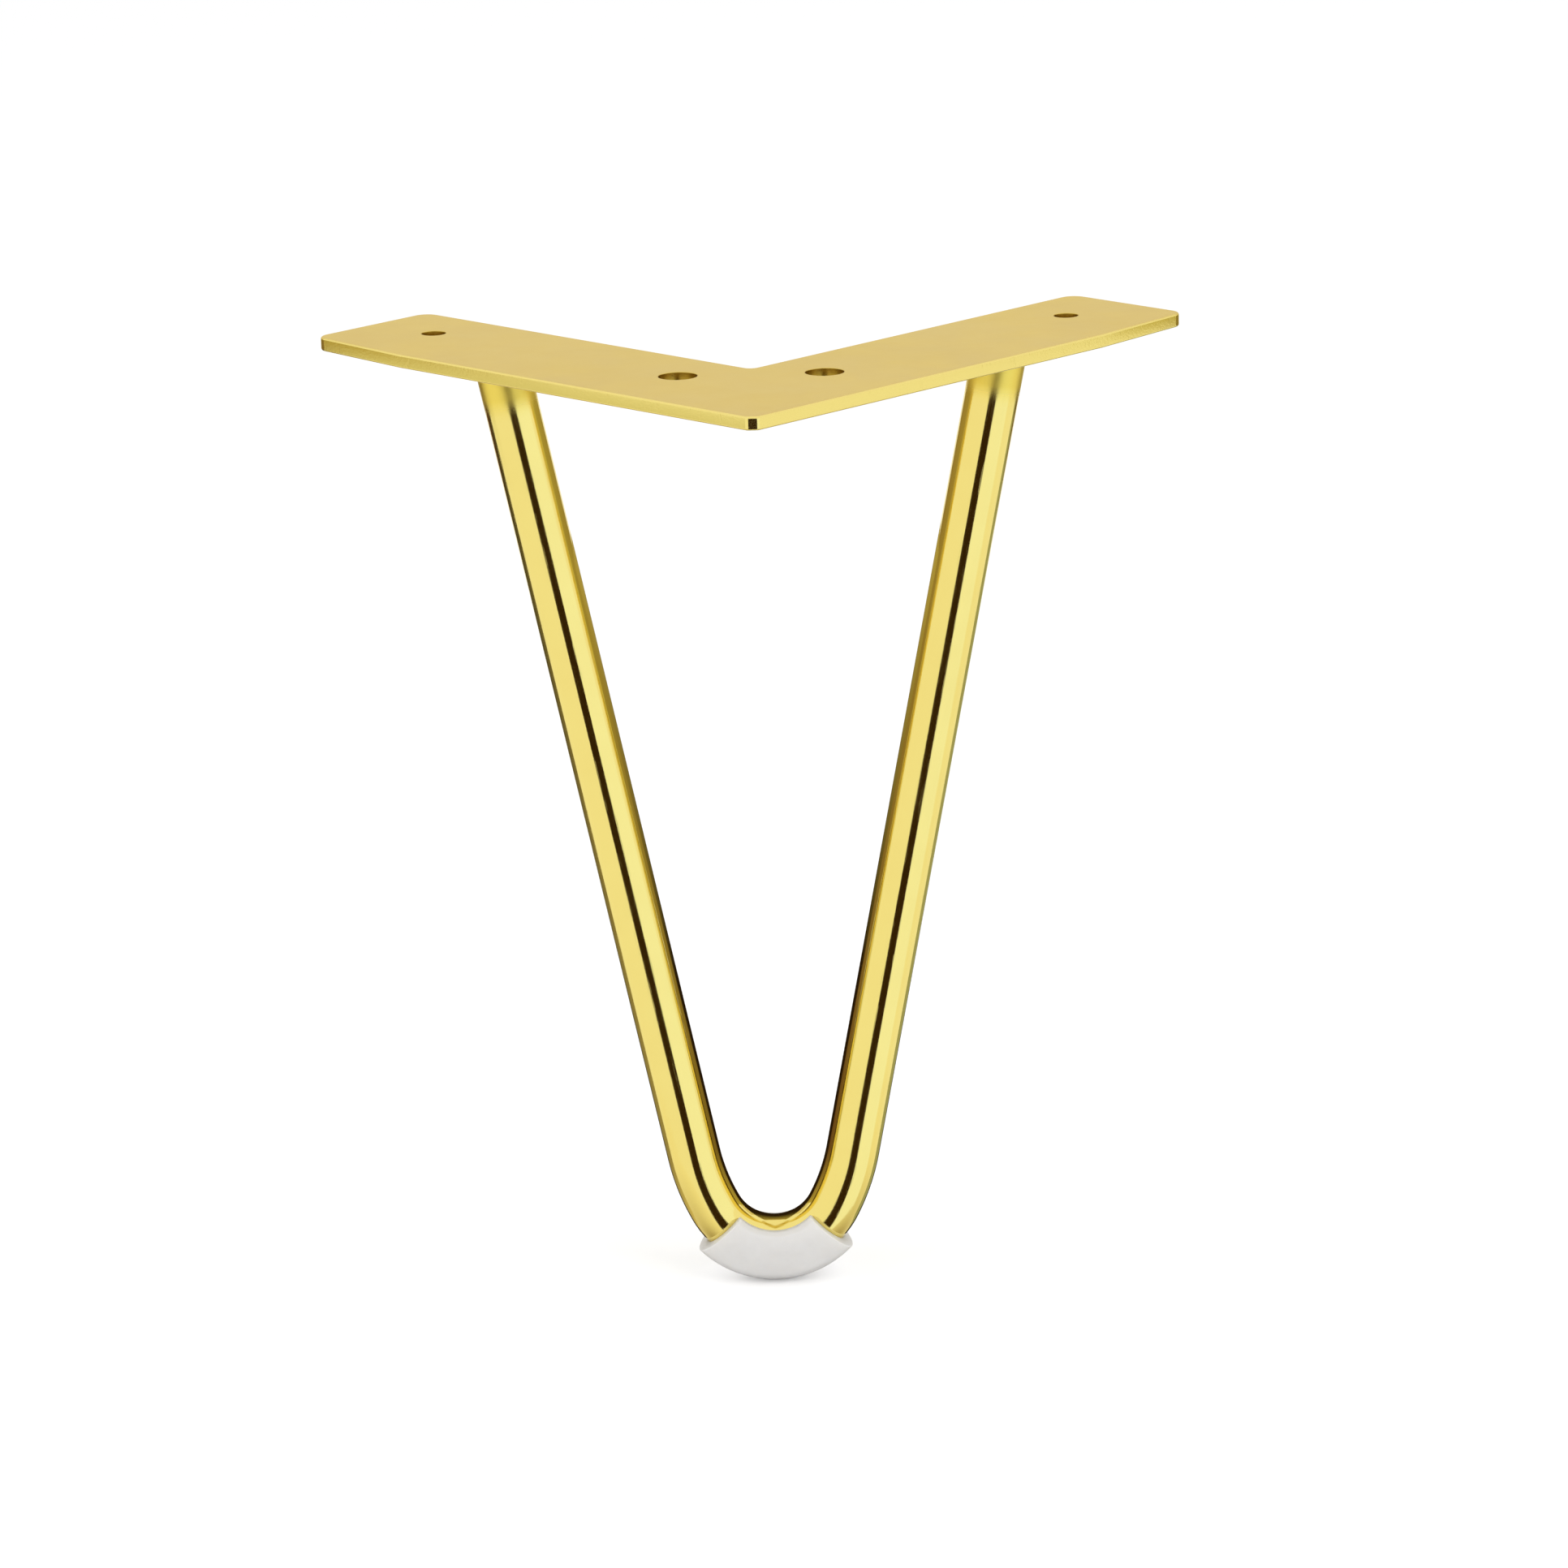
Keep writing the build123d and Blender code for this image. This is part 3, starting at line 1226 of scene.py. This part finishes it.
@dataclass(frozen=True)
class ReflectionCard:
    """A card that stands round the leg and shows only in the metal's reflections.

    Its azimuth and half angle are in degrees, from the camera's side towards +X. Its span is the heights
    of its foot and its top, and a card without a foot shade has one shade all over.
    """

    name: str
    azimuth: float
    half_angle: float
    span: tuple[float, float]
    shade: Shade
    foot_shade: Shade | None = None
    distance: float = 1.0
    steps: int = 32

    def build(self, centre: Vector) -> bpy.types.Object:
        """Builds the card as a strip of a cylinder round the leg.

        Args:
            centre: The point in plan that the card stands round.

        Returns:
            The card, seen by glossy rays alone.
        """
        shell = bmesh.new()
        columns = []
        for step in range(self.steps + 1):
            turn = radians(self.azimuth + self.half_angle * (2 * step / self.steps - 1))
            x = centre.x + self.distance * sin(turn)
            y = centre.y - self.distance * cos(turn)
            columns.append([shell.verts.new((x, y, z)) for z in self.span])
        for (a, b), (c, d) in zip(columns, columns[1:]):
            shell.faces.new((a, c, d, b))
        card = mesh_object(self.name, shell)
        card.data.materials.append(self.paint())
        card.visible_camera = False
        card.visible_diffuse = False
        card.visible_transmission = False
        card.visible_volume_scatter = False
        card.visible_shadow = False
        return card

    def paint(self) -> bpy.types.Material:
        """A shade that needs no light, even or changing from the card's foot to its top.

        Returns:
            The card's material.
        """
        material, wiring = blank_material(self.name)
        place = wiring.add("ShaderNodeTexCoord").outputs["Object"]
        height = wiring.add("ShaderNodeSeparateXYZ", {0: place}).outputs["Z"]
        share = wiring.spread(height, *self.span, 0.0, 1.0)
        foot = (*(self.foot_shade or self.shade), 1.0)
        shade = wiring.blend(share, foot, (*self.shade, 1.0))
        glow = wiring.add("ShaderNodeEmission", {"Color": shade, "Strength": 1.0})
        wiring.add("ShaderNodeOutputMaterial", {"Surface": glow.outputs[0]})
        return material


@dataclass(frozen=True)
class SoftLamp:
    """A large rectangular lamp, aimed at the leg."""

    name: str
    place: tuple[float, float, float]
    width: float
    height: float
    power: float

    def build(self, aim: Vector) -> bpy.types.Object:
        """Builds the lamp and turns it to the leg.

        Args:
            aim: The point that the lamp faces.

        Returns:
            The lamp.
        """
        light = bpy.data.lights.new(self.name, "AREA")
        light.shape = "RECTANGLE"
        light.size = self.width
        light.size_y = self.height
        light.energy = self.power
        lamp = link_object(self.name, light)
        place = Vector(self.place)
        turn = (aim - place).to_track_quat("-Z", "Y").to_matrix().to_4x4()
        lamp.matrix_world = Matrix.Translation(place) @ turn
        lamp.visible_glossy = False
        return lamp


@dataclass
class Studio:
    """A pale floor, an even white room, two soft lamps, and cards for the metal to reflect."""

    plan: LegPlan
    room_level: float = 0.78
    floor_half_size: float = 6.0
    floor_colour: Colour = (0.95, 0.95, 0.95, 1.0)
    floor_lift: float = 0.24
    lamps: tuple[SoftLamp, ...] = (
        SoftLamp("key_lamp", (0.75, -0.95, 0.75), 0.8, 0.8, 4.2),
        SoftLamp("fill_lamp", (-0.95, -0.55, 0.5), 0.8, 0.8, 2.0),
    )
    cards: tuple[ReflectionCard, ...] = (
        ReflectionCard("front_gap", 3.0, 14.5, (-1.2, 0.12), (0.035, 0.018, 0.006)),
        ReflectionCard("key_panel", 47.0, 29.0, (-1.0, 0.12), (1.04, 1.12, 1.32)),
        ReflectionCard("right_wall", 126.5, 22.5, (-0.358, 0.12), (0.54, 0.465, 0.155), (0.15, 0.09, 0.03)),
        ReflectionCard("right_return", 99.5, 4.5, (-0.19, 0.12), (0.60, 0.53, 0.20)),
        ReflectionCard("left_wall", -126.5, 22.5, (-0.358, 0.12), (0.51, 0.42, 0.15), (0.10, 0.03, 0.02)),
        ReflectionCard("left_return", -98.0, 6.0, (-0.19, 0.12), (0.52, 0.42, 0.15)),
        ReflectionCard("left_panel", -94.0, 10.0, (-0.40, -0.19), (0.76, 0.74, 0.60)),
        ReflectionCard("right_skirt", 140.0, 20.0, (-1.0, -0.358), (0.36, 0.38, 0.25)),
        ReflectionCard("left_skirt", -136.0, 24.0, (-1.0, -0.358), (0.05, 0.042, 0.025), (0.70, 0.60, 0.32)),
        ReflectionCard("back_gap", 180.0, 43.0, (-0.30, -0.13), (0.02, 0.01, 0.004), distance=0.06),
        ReflectionCard(
            "back_fade", 180.0, 43.0, (-0.13, -0.045), (0.46, 0.38, 0.14), (0.02, 0.01, 0.004), distance=0.06
        ),
        ReflectionCard("floor_band", 0.0, 180.0, (-2.1, -0.70), (1.0, 0.97, 0.88), (0.20, 0.12, 0.01), 1.05),
        ReflectionCard("back_wall", 180.0, 60.0, (-0.06, 0.9), (0.766, 0.68, 0.505), distance=1.2),
    )

    def build(self) -> None:
        """Builds the floor, the room, the lamps and the cards."""
        centre = Vector((0.0, self.plan.bar_plane_y, -self.plan.overall_height / 2))
        self.build_floor()
        self.build_room()
        for lamp in self.lamps:
            lamp.build(centre)
        for card in self.cards:
            card.build(centre)

    def build_floor(self) -> None:
        """Lays the floor under the foot. Metal shows the white room in its place."""
        shell = bmesh.new()
        reach = self.floor_half_size
        level = -self.plan.overall_height
        corners = ((-reach, -reach), (reach, -reach), (reach, reach), (-reach, reach))
        shell.faces.new([shell.verts.new((x, y, level)) for x, y in corners])
        floor = mesh_object("pale_floor", shell)
        floor.data.materials.append(self.floor_paint())
        floor.visible_glossy = False

    def floor_paint(self) -> bpy.types.Material:
        """A matt pale paint that the camera sees lifted to white, with the leg's shadow still on it.

        Returns:
            The floor's material.
        """
        material, wiring = blank_material("pale_floor")
        rays = wiring.add("ShaderNodeLightPath").outputs
        seen = wiring.total(rays["Is Camera Ray"], rays["Is Transmission Ray"])
        lift = wiring.product(seen, self.floor_lift)
        glow = wiring.add("ShaderNodeEmission", {"Color": WHITE, "Strength": lift})
        matt = wiring.add("ShaderNodeBsdfDiffuse", {"Color": self.floor_colour})
        both = wiring.add("ShaderNodeAddShader", {0: matt.outputs[0], 1: glow.outputs[0]})
        wiring.add("ShaderNodeOutputMaterial", {"Surface": both.outputs[0]})
        return material

    def build_room(self) -> None:
        """Lights the scene evenly, and shows white to the camera and in reflections."""
        world = bpy.data.worlds.new("white_room")
        bpy.context.scene.world = world
        world.use_nodes = True
        world.node_tree.nodes.clear()
        wiring = Wiring(world.node_tree)
        rays = wiring.add("ShaderNodeLightPath").outputs
        seen = wiring.total(rays["Is Camera Ray"], rays["Is Glossy Ray"], rays["Is Transmission Ray"])
        level = wiring.spread(seen, 0.0, 1.0, self.room_level, 1.0)
        background = wiring.add("ShaderNodeBackground", {"Color": WHITE, "Strength": level})
        wiring.add("ShaderNodeOutputWorld", {"Surface": background.outputs[0]})


@dataclass(frozen=True)
class PhotoCamera:
    """The camera at the photograph's viewing angle."""

    azimuth: float = radians(-0.16)
    elevation: float = radians(15.09)
    roll: float = radians(1.59)
    distance: float = 1247.0 * MM
    slide_right: float = 3.51 * MM
    slide_up: float = 11.96 * MM
    target: tuple[float, float, float] = (0.0, 23.787 * MM, -90.0 * MM)
    focal_pixels: float = 8420.0
    sensor_width: float = 36.0
    far_limit: float = 50.0

    def build(self) -> bpy.types.Object:
        """Builds the camera and makes it the scene's own.

        Returns:
            The camera.
        """
        turn, rise, roll = self.azimuth, self.elevation, self.roll
        back = Vector((sin(turn) * cos(rise), -cos(turn) * cos(rise), sin(rise)))
        level_right = Vector((cos(turn), sin(turn), 0.0))
        level_up = back.cross(level_right)
        right = level_right * cos(roll) - level_up * sin(roll)
        up = level_right * sin(roll) + level_up * cos(roll)
        eye = Vector(self.target) + back * self.distance + right * self.slide_right + up * self.slide_up
        lens = bpy.data.cameras.new("photo_camera")
        lens.sensor_width = self.sensor_width
        lens.lens = self.focal_pixels / IMAGE_WIDTH * self.sensor_width
        lens.clip_end = self.far_limit
        camera = link_object("photo_camera", lens)
        camera.matrix_world = Matrix.Translation(eye) @ Matrix((right, up, back)).transposed().to_4x4()
        bpy.context.scene.camera = camera
        return camera


def main() -> None:
    """Builds the leg, the studio and the camera, and logs each piece's face count."""
    logging.basicConfig(level=logging.INFO, format="%(name)s: %(message)s")
    bpy.context.scene.view_settings.view_transform = "Standard"
    plan = LegPlan()
    effects = SurfaceEffects()
    welds = WELD_GOLD.make(effects)
    pieces = [
        MountingPlate(plan).dress(SATIN_GOLD.make(effects)),
        HairpinBar(plan).dress(POLISHED_GOLD.make(effects)),
        WeldBead(plan, WeldSide.LEFT).dress(welds),
        WeldBead(plan, WeldSide.RIGHT).dress(welds),
        FootSleeve(plan).dress(MILKY_PLASTIC.make(effects)),
    ]
    for piece in pieces:
        log.info("%s: %d faces", piece.name, len(piece.data.polygons))
    Studio(plan).build()
    PhotoCamera().build()


if __name__ == "__main__":
    main()
